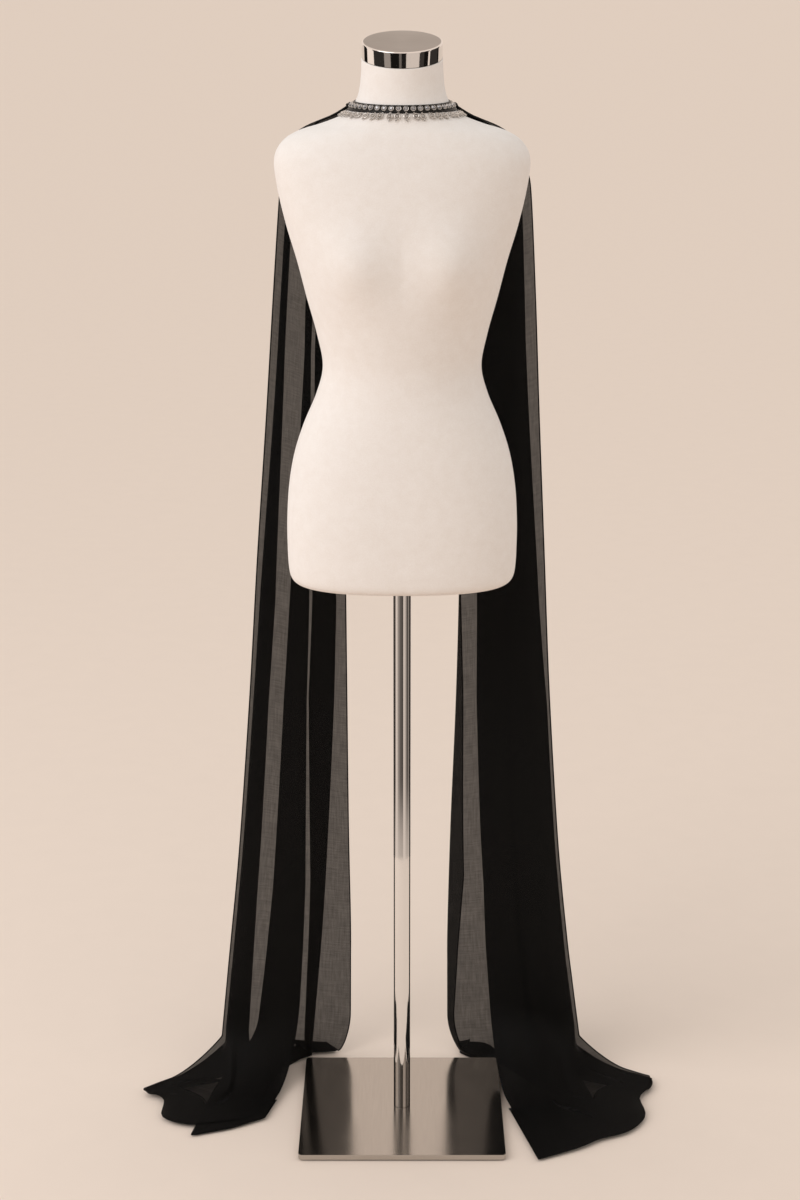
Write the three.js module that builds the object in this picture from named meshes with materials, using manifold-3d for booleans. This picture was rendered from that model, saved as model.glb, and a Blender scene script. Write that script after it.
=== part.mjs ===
// A female dress form on a chrome pole and a square steel base, dressed with a jewelled choker
// and a sheer two-panel cape. Millimetres, +Z up. The origin is on the floor under the pole, and
// the form faces -Y, so -X is its right hand and the left of a front view.
import * as THREE from 'three';
import { mergeVertices } from 'three/addons/utils/BufferGeometryUtils.js';
import Module from 'manifold-3d';

const wasm = await Module();
wasm.setup();

// ---------------------------------------------------------------- driving dimensions
const GAP = 0.3; // between pieces that touch

const BASE_SIDE = 310;
const BASE_CORNER = 6;
const BASE_TOP = 10.2;
const FOOT_HEIGHT = 2;
const FOOT_PLACE = 128; // of each foot from the pole, along X and Y
const SHEET_STEEL = 1.2;

const POLE_R = 12.7; // a 25.4 mm tube
const POLE_BORE_R = 11.5;
const POLE_TOP = 1290;

const HEM_Z = 858; // the body's underside
const BOARD_Z = 865;
const BOARD_THICKNESS = 11;
const FLANGE_R = 45;
const FLANGE_THICKNESS = 3;
const FLANGE_SCREW_CIRCLE_R = 34;
const SLEEVE_BORE_R = 13.2;
const SLEEVE_R = 15.2;
const SLEEVE_TOP = 1100;
const COLLAR_R = 20;
const COLLAR_HEIGHT = 22;
const CLAMP_SCREW_R = 3;

const COVER_THICKNESS = 1;
const SHELL_OUTSIDE = 1.7; // depth of the shell's outside under the cover's face
const SHELL_INSIDE = 6;

const NECK_TILT = THREE.MathUtils.degToRad(14); // the neck's top and its cap lean forward
const NECK_TOP_Z = 1596.5;
const CAP_R = 55.3;
const CAP_HEIGHT = 21.8;

const CAPE_BREAK_Z = 62; // the cape hangs above this height and lies on the floor below it
const TRAIN_TOP_Z = 59;

// ---------------------------------------------------------------- materials
const finish = (color, roughness, metalness = 0, more = {}) =>
  new THREE.MeshStandardMaterial({ color, roughness, metalness, ...more });
const MATERIALS = {
  jersey: finish(0xe9ddd1, 0.9),
  fibreglass: finish(0xb9b2a4, 0.7),
  plywood: finish(0xb98d5c, 0.75),
  chrome: finish(0xd8d8d8, 0.06, 1),
  brushed_steel: finish(0xa8a29a, 0.25, 1),
  plain_steel: finish(0x6f7173, 0.5, 1),
  rubber: finish(0x1b1b1b, 0.9),
  nylon: finish(0x1f2022, 0.5),
  satin: finish(0x0a0a0b, 0.5),
  crystal: finish(0xe6e6ea, 0.1, 0.6),
  silver: finish(0xb9b9bb, 0.2, 1),
  chiffon: finish(0x0c0c0d, 0.8, 0, { transparent: true, opacity: 0.75 }),
};

// ---------------------------------------------------------------- shapes
// Turns a closed geometry's faces outwards.
function facingOut(geometry) {
  const p = geometry.getAttribute('position');
  const index = geometry.index.array;
  const [a, b, c] = [new THREE.Vector3(), new THREE.Vector3(), new THREE.Vector3()];
  let volume = 0;
  for (let i = 0; i < index.length; i += 3) {
    a.fromBufferAttribute(p, index[i]);
    b.fromBufferAttribute(p, index[i + 1]);
    c.fromBufferAttribute(p, index[i + 2]);
    volume += a.dot(b.cross(c));
  }
  if (volume < 0) for (let i = 0; i < index.length; i += 3) [index[i], index[i + 1]] = [index[i + 1], index[i]];
  geometry.computeVertexNormals();
  return geometry;
}

// A turned solid about +Z. The outline is [radius, height] points, from axis to axis or closed on itself.
function turned(outline, segments = 32) {
  const points = outline.map(([r, z]) => new THREE.Vector2(r, z));
  if (outline[0][0] > 0) points.push(points[0].clone());
  return facingOut(new THREE.LatheGeometry(points, segments).rotateX(Math.PI / 2));
}

const disc = (r, z0, z1, segments) => turned([[0, z0], [r, z0], [r, z1], [0, z1]], segments);
const ring = (bore, r, z0, z1, segments) => turned([[bore, z0], [r, z0], [r, z1], [bore, z1]], segments);

function extruded(shape, z0, z1, curveSegments = 4) {
  const geometry = new THREE.ExtrudeGeometry(shape, { depth: z1 - z0, bevelEnabled: false, curveSegments });
  return facingOut(mergedPositions(geometry.translate(0, 0, z0)));
}

function roundedSquare(side, corner) {
  const h = side / 2;
  const k = h - corner;
  const shape = new THREE.Shape();
  shape.moveTo(-k, -h).lineTo(k, -h).absarc(k, -k, corner, -Math.PI / 2, 0);
  shape.lineTo(h, k).absarc(k, k, corner, 0, Math.PI / 2);
  shape.lineTo(-k, h).absarc(-k, k, corner, Math.PI / 2, Math.PI);
  shape.lineTo(-h, -k).absarc(-k, -k, corner, Math.PI, 1.5 * Math.PI);
  return shape;
}

// The same geometry with only its positions, and each shared corner held once.
function mergedPositions(geometry) {
  const bare = new THREE.BufferGeometry();
  const source = geometry.index ? geometry.toNonIndexed() : geometry;
  bare.setAttribute('position', source.getAttribute('position'));
  return mergeVertices(bare, 1e-3);
}

function toSolid(geometry) {
  const merged = mergedPositions(geometry);
  return new wasm.Manifold(
    new wasm.Mesh({
      numProp: 3,
      vertProperties: new Float32Array(merged.getAttribute('position').array),
      triVerts: new Uint32Array(merged.index.array),
    }),
  );
}

function fromSolid(solid) {
  const mesh = solid.getMesh();
  const geometry = new THREE.BufferGeometry();
  geometry.setAttribute('position', new THREE.BufferAttribute(mesh.vertProperties, mesh.numProp));
  geometry.setIndex(new THREE.BufferAttribute(mesh.triVerts, 1));
  geometry.computeVertexNormals();
  return geometry;
}

const joined = (...pieces) => fromSolid(pieces.map(toSolid).reduce((a, b) => a.add(b)));
const cut = (piece, ...tools) => fromSolid(tools.map(toSolid).reduce((a, b) => a.subtract(b), toSolid(piece)));

// A solid through loops of points that all hold the same number. Its ends are capped, or if
// closed is true its last loop joins its first, and the way back is cut into the same facets as
// the way there, so a thin skin's two faces stay parallel.
function lofted(loops, closed = false) {
  const n = loops[0].length;
  const vertices = loops.flat();
  const index = [];
  const spans = closed ? loops.length : loops.length - 1;
  for (let i = 0; i < spans; i++) {
    const [from, to] = [i * n, ((i + 1) % loops.length) * n];
    const wayBack = closed && i >= spans / 2;
    for (let j = 0; j < n; j++) {
      const k = (j + 1) % n;
      if (wayBack) index.push(from + j, from + k, to + j, from + k, to + k, to + j);
      else index.push(from + j, from + k, to + k, from + j, to + k, to + j);
    }
  }
  if (!closed) {
    for (const [start, flip] of [[0, true], [(loops.length - 1) * n, false]]) {
      const middle = vertices.length;
      const loop = vertices.slice(start, start + n);
      vertices.push(loop.reduce((a, b) => a.add(b), new THREE.Vector3()).divideScalar(n));
      for (let j = 0; j < n; j++) {
        const k = (j + 1) % n;
        index.push(middle, start + (flip ? k : j), start + (flip ? j : k));
      }
    }
  }
  const geometry = new THREE.BufferGeometry().setFromPoints(vertices);
  geometry.setIndex(index);
  return facingOut(geometry);
}

const form = new THREE.Group();
function add(name, geometry, material, parent = form) {
  const mesh = new THREE.Mesh(geometry, MATERIALS[material]);
  mesh.name = name;
  parent.add(mesh);
  return mesh;
}

// ---------------------------------------------------------------- stand
const panFloorZ = BASE_TOP - SHEET_STEEL;
const weightZ = FOOT_HEIGHT + GAP;
const BOLT_R = 5;
const BOLT_HOLE_R = BOLT_R + 0.5;
const COUNTERBORE_Z = 5.8;

const pan = extruded(roundedSquare(BASE_SIDE, BASE_CORNER), FOOT_HEIGHT + 0.2, BASE_TOP);
const panInside = extruded(roundedSquare(BASE_SIDE - 2 * SHEET_STEEL, BASE_CORNER - 1), 0, panFloorZ);
add('base_cover', cut(pan, panInside, disc(BOLT_HOLE_R, 0, 20, 24)), 'brushed_steel');

const slab = extruded(roundedSquare(BASE_SIDE - 2 * SHEET_STEEL - 2 * GAP, BASE_CORNER - 1), weightZ, panFloorZ - GAP);
const headRoom = turned([[0, 0], [12, 0], [12, COUNTERBORE_Z], [BOLT_HOLE_R, COUNTERBORE_Z], [BOLT_HOLE_R, 20], [0, 20]]);
add('base_weight', cut(slab, headRoom), 'plain_steel');

for (const [name, x, y] of [['front_left', -1, -1], ['front_right', 1, -1], ['rear_left', -1, 1], ['rear_right', 1, 1]])
  add(`foot_${name}`, disc(12, 0, FOOT_HEIGHT, 20), 'rubber').position.set(x * FOOT_PLACE, y * FOOT_PLACE, 0);
add('centre_pad', disc(20, 0, FOOT_HEIGHT, 24), 'rubber');

add('base_bolt', turned([[0, 2.4], [9.5, 2.4], [9.5, 4.4], [BOLT_R, 4.4], [BOLT_R, 36], [0, 36]], 24), 'plain_steel');
add('base_washer', ring(5.6, 11, 4.7, COUNTERBORE_Z - GAP, 24), 'plain_steel');
const poleFootZ = BASE_TOP + GAP;
const plugR = POLE_BORE_R - GAP;
add('pole_insert', turned([[0, 38], [5.3, 38], [5.3, poleFootZ], [plugR, poleFootZ], [plugR, 42], [0, 42]], 24), 'plain_steel');
add('pole', ring(POLE_BORE_R, POLE_R, poleFootZ, POLE_TOP, 36), 'chrome');
const plugOutline = [[0, POLE_TOP - 20], [plugR, POLE_TOP - 20], [plugR, POLE_TOP + GAP]];
plugOutline.push([POLE_R - 0.1, POLE_TOP + GAP], [POLE_R - 0.1, POLE_TOP + 3], [0, POLE_TOP + 3]);
add('pole_plug', turned(plugOutline, 24), 'nylon');

// ---------------------------------------------------------------- body surface
// The body's sections, from the neck's top to the hem that is turned under:
// height, half width, reach to the front, reach to the back, squareness, forward tilt.
const SECTIONS = [
  [NECK_TOP_Z, 55.6, 54.4, 54.4, 2.0, Math.tan(NECK_TILT)],
  [1574, 56.5, 55.2, 56.5, 2.0, 0.2],
  [1554, 58.8, 57, 60, 2.0, 0.11],
  [1540, 63.2, 60, 64, 2.0, 0.05],
  [1528.5, 71.5, 64.5, 69, 2.0, 0.02],
  [1518, 85.5, 69, 73.5, 2.05, 0],
  [1507.5, 113, 74, 78, 2.1, 0],
  [1498, 143.5, 79, 82, 2.2, 0],
  [1484, 165.3, 84.5, 87, 2.3, 0],
  [1461, 176.8, 92, 93.5, 2.35, 0],
  [1423, 173.3, 100, 98, 2.35, 0],
  [1371, 161.6, 106.5, 98.5, 2.3, 0],
  [1320, 146.7, 109, 95.5, 2.25, 0],
  [1270, 134.1, 106, 90, 2.2, 0],
  [1219, 120.4, 97, 83, 2.15, 0],
  [1173, 112.4, 90, 78.5, 2.1, 0],
  [1134, 121.3, 91, 82, 2.1, 0],
  [1090, 139.8, 96.5, 91, 2.2, 0],
  [1047, 153.9, 101.5, 101, 2.3, 0],
  [1000, 162.2, 105, 108.5, 2.4, 0],
  [950, 165.4, 107, 111.5, 2.5, 0],
  [908, 165.3, 106.5, 110.5, 2.5, 0],
  [882, 164, 105.5, 108.5, 2.5, 0],
  [867.5, 161, 103, 106, 2.5, 0],
  [860, 154, 96.5, 99.5, 2.5, 0],
  [HEM_Z, 143, 86, 89, 2.5, 0],
  [HEM_Z, 128, 71, 74, 2.5, 0],
];
// Swellings on the body: place across, height, half spread across, half spread up, depth, side.
const SWELLINGS = [
  [70, 1322, 44, 50, 17, -1], // bust
  [66, 1405, 46, 60, 5, 1], // shoulder blades
  [72, 975, 52, 62, 8, 1], // seat
];
const sectionCurves = [0, 3].map(
  (first) =>
    new THREE.CatmullRomCurve3(SECTIONS.map((s) => new THREE.Vector3(...s.slice(first, first + 3))), false, 'catmullrom', 0.5),
);

// The point of the body's face at t, from 0 at the neck to 1 at the hem, and at an angle from +X.
function facePoint(t, angle) {
  const { x: z, y: halfWidth, z: front } = sectionCurves[0].getPoint(t);
  const { x: back, y: squareness, z: tilt } = sectionCurves[1].getPoint(t);
  const [c, s] = [Math.cos(angle), Math.sin(angle)];
  const x = halfWidth * Math.sign(c) * Math.abs(c) ** (2 / squareness);
  let y = (s < 0 ? -front : back) * Math.abs(s) ** (2 / squareness);
  for (const [across, height, wide, tall, depth, side] of SWELLINGS) {
    const facing = Math.max(0, s * side);
    const near = Math.exp(-(((Math.abs(x) - across) / wide) ** 2) - ((z - height) / tall) ** 2);
    y += side * depth * near * Math.min(1, 2 * facing);
  }
  return new THREE.Vector3(x, y, z + tilt * y);
}

// The face's point moved inwards by a depth, square to the face.
function bodyPoint(t, angle, depth = 0) {
  const STEP = 1e-3;
  const along = facePoint(Math.min(1, t + STEP), angle).sub(facePoint(Math.max(0, t - STEP), angle));
  const around = facePoint(t, angle + STEP).sub(facePoint(t, angle - STEP));
  const inwards = around.cross(along).normalize();
  return facePoint(t, angle).addScaledVector(inwards, depth);
}

const SECTORS = 32;
const bodyLoop = (t, depth) =>
  Array.from({ length: SECTORS }, (_, i) => bodyPoint(t, (i / SECTORS) * 2 * Math.PI, depth));
const stations = (count, from, to) => Array.from({ length: count }, (_, i) => from + ((to - from) * i) / (count - 1));

// A skin of the body between two depths, from the neck's top to the section numbered last.
function bodySkin(outside, inside, last) {
  const places = stations(last + 1, 0, last / (SECTIONS.length - 1));
  const outer = places.map((t) => bodyLoop(t, outside));
  const inner = places.toReversed().map((t) => bodyLoop(t, inside));
  return lofted([...outer, ...inner], true);
}

add('torso_cover', bodySkin(0, COVER_THICKNESS, SECTIONS.length - 1), 'jersey');
add('torso_shell', bodySkin(SHELL_OUTSIDE, SHELL_INSIDE, SECTIONS.length - 2), 'fibreglass');

// ---------------------------------------------------------------- sleeve and clamp under the body
const flangeZ = BOARD_Z - GAP - FLANGE_THICKNESS;
const collarTop = flangeZ - GAP;
const collarZ = collarTop - COLLAR_HEIGHT;
const clampZ = collarZ + COLLAR_HEIGHT / 2;
const SCREW_R = 2.1;
const SCREW_HOLE_R = 2.5;

function oval(halfWidth, front, back, squareness, count = 40) {
  const shape = new THREE.Shape();
  for (let i = 0; i < count; i++) {
    const [c, s] = [Math.cos((i / count) * 2 * Math.PI), Math.sin((i / count) * 2 * Math.PI)];
    const x = halfWidth * Math.sign(c) * Math.abs(c) ** (2 / squareness);
    const y = (s < 0 ? -front : back) * Math.abs(s) ** (2 / squareness);
    i ? shape.lineTo(x, y) : shape.moveTo(x, y);
  }
  return shape;
}

const screwPlaces = [45, 135, 225, 315].map((degrees) => {
  const angle = THREE.MathUtils.degToRad(degrees);
  return [FLANGE_SCREW_CIRCLE_R * Math.cos(angle), FLANGE_SCREW_CIRCLE_R * Math.sin(angle)];
});
const screwHoles = screwPlaces.map(([x, y]) => disc(SCREW_HOLE_R, flangeZ - 5, BOARD_Z + 9, 12).translate(x, y, 0));
const sleeveHole = disc(SLEEVE_R + GAP, flangeZ - 5, BOARD_Z + 50, 32);
const boardBlank = extruded(oval(145, 88, 91, 2.5), BOARD_Z, BOARD_Z + BOARD_THICKNESS);
add('bottom_board', cut(boardBlank, sleeveHole, ...screwHoles), 'plywood');
add('flange', cut(disc(FLANGE_R, flangeZ, flangeZ + FLANGE_THICKNESS, 40), sleeveHole, ...screwHoles), 'plain_steel');

const screwOutline = [[0, -2.2], [2.6, -2.2], [4.2, -0.9], [4.2, -0.1], [SCREW_R, -0.1], [SCREW_R, 11], [0, 11]];
screwPlaces.forEach(([x, y], i) =>
  add(`flange_screw_${i + 1}`, turned(screwOutline, 12), 'plain_steel').position.set(x, y, flangeZ - GAP),
);
add('sleeve', ring(SLEEVE_BORE_R, SLEEVE_R, flangeZ, SLEEVE_TOP, 32), 'plain_steel');
add('sleeve_bush', ring(POLE_R + 0.3, SLEEVE_R, SLEEVE_TOP + GAP, SLEEVE_TOP + 14, 32), 'nylon');

// A turned geometry about +Z, laid along +Y at the clamp's height.
const alongY = (geometry) => facingOut(mergedPositions(geometry.rotateX(-Math.PI / 2).translate(0, 0, clampZ)));
const collarBlank = joined(disc(COLLAR_R, collarZ, collarTop, 40), alongY(disc(8, 10, 27, 24)));
const collarBore = disc(SLEEVE_BORE_R, collarZ - 5, collarTop + 5, 32);
add('clamp_collar', cut(collarBlank, collarBore, alongY(disc(CLAMP_SCREW_R + 0.4, 8, 40, 20))), 'chrome');
add('clamp_screw', alongY(disc(CLAMP_SCREW_R, POLE_R + GAP, 40, 20)), 'plain_steel');

const KNOB_R = 10;
const KNOB_LOBES = 8;
function knobShape() {
  const shape = new THREE.Shape();
  const count = KNOB_LOBES * 6;
  for (let i = 0; i < count; i++) {
    const angle = (i / count) * 2 * Math.PI;
    const r = KNOB_R * (1 - 0.06 * (1 - Math.cos(KNOB_LOBES * angle)));
    const [x, y] = [r * Math.cos(angle), r * Math.sin(angle)];
    i ? shape.lineTo(x, y) : shape.moveTo(x, y);
  }
  return shape;
}
const knobBore = disc(CLAMP_SCREW_R + GAP, 0, 40 + GAP, 20);
add('clamp_knob', alongY(cut(extruded(knobShape(), 31, 43), knobBore)), 'nylon');

// ---------------------------------------------------------------- neck block and cap
const neckTop = new THREE.Group();
neckTop.position.set(0, 0, NECK_TOP_Z);
neckTop.rotation.x = NECK_TILT;
form.add(neckTop);

const STUD_R = 3;
const CAP_EDGE = 2.4; // the cap's top edge is rounded
const capCorner = stations(5, 0, Math.PI / 2).map((a) => [
  CAP_R - CAP_EDGE + CAP_EDGE * Math.cos(a),
  CAP_HEIGHT - CAP_EDGE + CAP_EDGE * Math.sin(a),
]);
const capOutline = [[0, -22], [STUD_R, -22], [STUD_R, CAP_HEIGHT - 1.2], [CAP_R - 1.2 - CAP_EDGE, CAP_HEIGHT - 1.2]];
capOutline.push([CAP_R - 1.2, CAP_HEIGHT - 3], [CAP_R - 1.2, GAP + 0.2], [CAP_R, GAP + 0.2], ...capCorner, [0, CAP_HEIGHT]);
add('neck_cap', turned(capOutline, 48), 'chrome', neckTop);
const blockOutline = [[STUD_R + 0.5, -12], [46, -12], [46, 16], [43, 19.5], [STUD_R + 0.5, 19.5]];
add('neck_block', turned(blockOutline, 32), 'plywood', neckTop);
add('cap_washer', ring(STUD_R + 0.4, 9, -13.8, -12 - GAP, 24), 'plain_steel', neckTop);
add('cap_nut', cut(disc(5.8, -19, -14.1, 6), disc(STUD_R + GAP, -20, -13, 24)), 'plain_steel', neckTop);

// ---------------------------------------------------------------- choker
// t on the body's face for a height.
function placeAt(z) {
  let [low, high] = [0, 0.5];
  for (let i = 0; i < 40; i++) {
    const middle = (low + high) / 2;
    if (sectionCurves[0].getPoint(middle).x > z) low = middle;
    else high = middle;
  }
  return low;
}

// A strip that follows the body's face round the neck: heights, distances off the face, angles in degrees.
function neckStrip([top, bottom], [near, far], [from, to], count) {
  const [t0, t1] = [placeAt(top), placeAt(bottom)];
  const loops = stations(count, from, to).map((degrees) => {
    const angle = THREE.MathUtils.degToRad(degrees);
    return [[t0, near], [t1, near], [t1, far], [t0, far]].map(([t, off]) => bodyPoint(t, angle, -off));
  });
  return lofted(loops);
}

const BAND = [1538, 1525.5];
add('choker_band', neckStrip(BAND, [0.6, 2], [96, 444], 59), 'satin');
add('rhinestone_chain', neckStrip([1536, 1528], [3.2, 5.4], [168, 372], 35), 'crystal');
add('choker_fringe', neckStrip([1524.8, 1516], [1.2, 3.6], [168, 372], 35), 'silver');

const claspY = 71;
const claspZ = 1532;
function torus(r, wire) {
  const geometry = new THREE.TorusGeometry(r, wire, 6, 16).rotateX(Math.PI / 2);
  return facingOut(mergedPositions(geometry));
}
const eye = add('clasp_ring', torus(3.2, 0.7), 'silver');
eye.position.set(5, claspY + 1.5, claspZ);
const hook = new THREE.BoxGeometry(9, 1.2, 3.4);
add('clasp_hook', facingOut(mergedPositions(hook)), 'silver').position.set(-4.5, claspY + 2, claspZ);

// ---------------------------------------------------------------- cape
// Each panel falls from the choker over the shoulder blade to the floor. The stations follow it
// down: its outer edge, its inner edge, how far the cloth between them bows outwards over the
// back, how thick the folds are, and how far their thickness leans up, in degrees.
const PANEL = [
  [[-74, 14, 1530], [-36, 66, 1532], 8, 4, 20],
  [[-96, 18, 1518], [-38, 79, 1520], 8, 4.5, 45],
  [[-140, 26, 1501.5], [-48, 92, 1496], 14, 5, 40],
  [[-164, 45, 1480], [-58, 101, 1462], 19, 6, 20],
  [[-172, 66, 1443], [-67, 110, 1422], 12, 8, 0],
  [[-176, 84, 1395], [-74, 116, 1375], 5, 12, 0],
  [[-186, 96, 1250], [-82, 124, 1230], 2, 15, 0],
  [[-201, 104, 1070], [-85, 134, 1060], 0, 17, 0],
  [[-217, 110, 860], [-85, 144, 850], 0, 18, 0],
  [[-234, 115, 630], [-85, 153, 630], 0, 19, 0],
  [[-254, 120, 400], [-85, 163, 400], 0, 20, 0],
  [[-272, 124, 190], [-86, 174, 190], 0, 20, 0],
  [[-282, 126, CAPE_BREAK_Z], [-87, 181, CAPE_BREAK_Z], 0, 20, 0],
];
const ACROSS = 6;

function panelLoop([outer, inner, bow, thickness, lean]) {
  const [from, to] = [new THREE.Vector3(...outer), new THREE.Vector3(...inner)];
  const flat = new THREE.Vector3(-(to.y - from.y), to.x - from.x, 0).normalize();
  const up = THREE.MathUtils.degToRad(lean);
  const out = flat.clone().multiplyScalar(Math.cos(up)).add(new THREE.Vector3(0, 0, Math.sin(up)));
  const line = stations(ACROSS, 0, 1).map((s) => {
    const width = 0.35 + 0.65 * Math.sin(Math.PI * s) ** 0.5; // the folds thin out at both edges
    return { middle: from.clone().lerp(to, s).addScaledVector(out, 4 * bow * s * (1 - s)), half: (width * thickness) / 2 };
  });
  const near = line.map(({ middle, half }) => middle.clone().addScaledVector(out, -half));
  const far = line.map(({ middle, half }) => middle.clone().addScaledVector(out, half)).reverse();
  return [...near, ...far];
}

// The train's outline on the floor, as seen from above, and the foot of the folds above it.
const TRAINS = {
  left: {
    outline: [
      [-86, 205], [-100, 218], [-180, 214], [-290, 190], [-370, 110], [-408, 55], [-396, 36],
      [-376, -32], [-340, -62], [-324, -92], [-262, -66], [-208, -34], [-188, 34], [-176, 150], [-104, 190],
    ],
    foot: [-185, 150],
  },
  right: {
    outline: [
      [86, 205], [100, 218], [180, 214], [290, 190], [360, 120], [398, 80], [404, 62],
      [384, -24], [372, -60], [330, -96], [262, -122], [200, -162], [178, -108], [168, 20], [164, 150], [104, 190],
    ],
    foot: [190, 140],
  },
};
const TRAIN_LEVELS = [
  [0, 1],
  [7, 1],
  [20, 0.72],
  [42, 0.5],
  [TRAIN_TOP_Z, 0.42],
];

function trainSolid({ outline, foot }) {
  const loops = TRAIN_LEVELS.map(([z, share]) =>
    outline.map(([x, y]) => new THREE.Vector3(foot[0] + (x - foot[0]) * share, foot[1] + (y - foot[1]) * share, z)),
  );
  return lofted(loops);
}

function mirroredLoop(station) {
  return panelLoop(station).map((p) => new THREE.Vector3(-p.x, p.y, p.z));
}
add('cape_panel_left', lofted(PANEL.map(panelLoop)), 'chiffon');
add('cape_panel_right', lofted(PANEL.map(mirroredLoop)), 'chiffon');
add('cape_train_left', trainSolid(TRAINS.left), 'chiffon');
add('cape_train_right', trainSolid(TRAINS.right), 'chiffon');

export default form;
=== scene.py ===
import math
import bpy
import numpy as np
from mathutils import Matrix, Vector, noise


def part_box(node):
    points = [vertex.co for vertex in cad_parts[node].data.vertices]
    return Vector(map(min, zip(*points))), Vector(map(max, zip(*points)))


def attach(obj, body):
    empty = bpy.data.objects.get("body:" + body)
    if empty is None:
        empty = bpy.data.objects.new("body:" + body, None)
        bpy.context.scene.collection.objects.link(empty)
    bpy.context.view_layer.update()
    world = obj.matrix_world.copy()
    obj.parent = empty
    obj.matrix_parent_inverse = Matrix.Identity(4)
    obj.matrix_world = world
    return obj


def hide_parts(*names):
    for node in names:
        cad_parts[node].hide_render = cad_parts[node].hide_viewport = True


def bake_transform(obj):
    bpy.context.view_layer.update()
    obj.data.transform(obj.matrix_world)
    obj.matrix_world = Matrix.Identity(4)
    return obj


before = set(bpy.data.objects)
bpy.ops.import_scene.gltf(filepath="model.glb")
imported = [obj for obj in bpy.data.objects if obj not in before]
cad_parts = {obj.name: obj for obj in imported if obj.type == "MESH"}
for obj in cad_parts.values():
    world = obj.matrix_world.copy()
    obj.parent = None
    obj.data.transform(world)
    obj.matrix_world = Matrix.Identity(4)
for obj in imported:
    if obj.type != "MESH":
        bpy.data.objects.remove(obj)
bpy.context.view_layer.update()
scene = bpy.context.scene

# ---------------------------------------------------------------- studio
# A seamless sheet of warm paper that runs back as far as the eye can see, lit by an even sky of
# diffusers, one broad soft lamp high on the left and a cooler one beside it. The camera stands
# 3.1 m away at eye height.
CAMERA_PLACE = (-0.003, -3.1186, 1.7055)
CAMERA_DIP = 15.74  # degrees below level
LENS = 66.63  # mm
FRAME_WIDTH = 36  # mm

camera = bpy.data.objects.new("camera", bpy.data.cameras.new("camera"))
camera.location = CAMERA_PLACE
camera.rotation_euler = (math.radians(90 - CAMERA_DIP), 0, 0)
camera.data.lens = LENS
camera.data.sensor_width = FRAME_WIDTH
camera.data.clip_end = 1000
scene.collection.objects.link(camera)
scene.camera = camera
scene.view_settings.view_transform = "Standard"


def linear(hex_colour):
    """An sRGB colour such as "e4d4c6" as linear red, green, blue and alpha."""
    parts = [int(hex_colour[i : i + 2], 16) / 255 for i in (0, 2, 4)]
    return [c / 12.92 if c <= 0.04045 else ((c + 0.055) / 1.055) ** 2.4 for c in parts] + [1.0]


def add_node(tree, kind, inputs=None, **settings):
    """Adds a node, makes its settings, and sets its inputs or links them to sockets."""
    node = tree.nodes.new(kind)
    for setting, value in settings.items():
        setattr(node, setting, value)
    for socket, value in (inputs or {}).items():
        if isinstance(value, bpy.types.NodeSocket):
            tree.links.new(value, node.inputs[socket])
        else:
            node.inputs[socket].default_value = value
    return node


def new_material(name, **shader_inputs):
    """A material, its tree and its shader. Underscores stand for spaces in the sockets' names."""
    material = bpy.data.materials.new(name)
    material.use_nodes = True
    shader = material.node_tree.nodes["Principled BSDF"]
    for socket, value in shader_inputs.items():
        shader.inputs[socket.replace("_", " ")].default_value = value
    return material, material.node_tree, shader


def own_place(tree):
    """Where each point of a piece lies, in metres."""
    return add_node(tree, "ShaderNodeTexCoord").outputs["Object"]


def noise_at(tree, vector, size_mm, **inputs):
    """Cloudy noise whose clouds are about size_mm across."""
    sockets = {"Vector": vector, "Scale": 1000 / size_mm, **inputs}
    return add_node(tree, "ShaderNodeTexNoise", sockets).outputs["Fac"]


def cells_at(tree, vector, size_mm, **settings):
    """The distance pattern of cells that are about size_mm across."""
    sockets = {"Vector": vector, "Scale": 1000 / size_mm}
    return add_node(tree, "ShaderNodeTexVoronoi", sockets, **settings).outputs["Distance"]


def spread(tree, value, source, target=(0.0, 1.0)):
    """Stretches a socket's values from one (low, high) pair to another."""
    ends = dict(zip(("From Min", "From Max", "To Min", "To Max"), (*source, *target)))
    return add_node(tree, "ShaderNodeMapRange", {"Value": value, **ends}).outputs[0]


def tint(tree, shader, share, first, second):
    """Colours the surface between two colours, by a socket from 0 to 1."""
    tone = add_node(tree, "ShaderNodeMix", {0: share, 6: first, 7: second}, data_type="RGBA")
    tree.links.new(tone.outputs[2], shader.inputs["Base Color"])


def relieve(tree, shader, height, strength, depth_mm):
    """Gives the surface a fine relief from a socket."""
    sockets = {"Height": height, "Strength": strength, "Distance": depth_mm / 1000}
    relief = add_node(tree, "ShaderNodeBump", sockets)
    tree.links.new(relief.outputs[0], shader.inputs["Normal"])


SHARP_ANGLE = math.radians(40)


def new_piece(name, vertices, faces, *materials):
    """A smooth mesh object in the scene."""
    mesh = bpy.data.meshes.new(name)
    mesh.from_pydata([tuple(v) for v in vertices], [], faces)
    mesh.update()
    mesh.shade_smooth()
    mesh.set_sharp_from_angle(angle=SHARP_ANGLE)
    for material in materials:
        mesh.materials.append(material)
    piece = bpy.data.objects.new(name, mesh)
    scene.collection.objects.link(piece)
    return piece


PAPER = linear("e9d6c6")
PAPER_MOTTLE_MM = 60  # faint unevenness of a rolled paper
PAPER_MOTTLE = 0.015  # darker and lighter than the paper's colour, as a share
PAPER_REACH = 250  # metres

paper, tree, shader = new_material("matt_background_paper", Roughness=0.95, Specular_IOR_Level=0.1)
mottle = noise_at(tree, own_place(tree), PAPER_MOTTLE_MM, Detail=3.0)
tint(tree, shader, mottle, [c * (1 - PAPER_MOTTLE) for c in PAPER], [c * (1 + PAPER_MOTTLE) for c in PAPER])
corners = [(x * PAPER_REACH, y * PAPER_REACH, 0) for x, y in ((-1, -1), (1, -1), (1, 1), (-1, 1))]
floor = new_piece("paper_floor", corners, [(0, 1, 2, 3)], paper)

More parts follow.
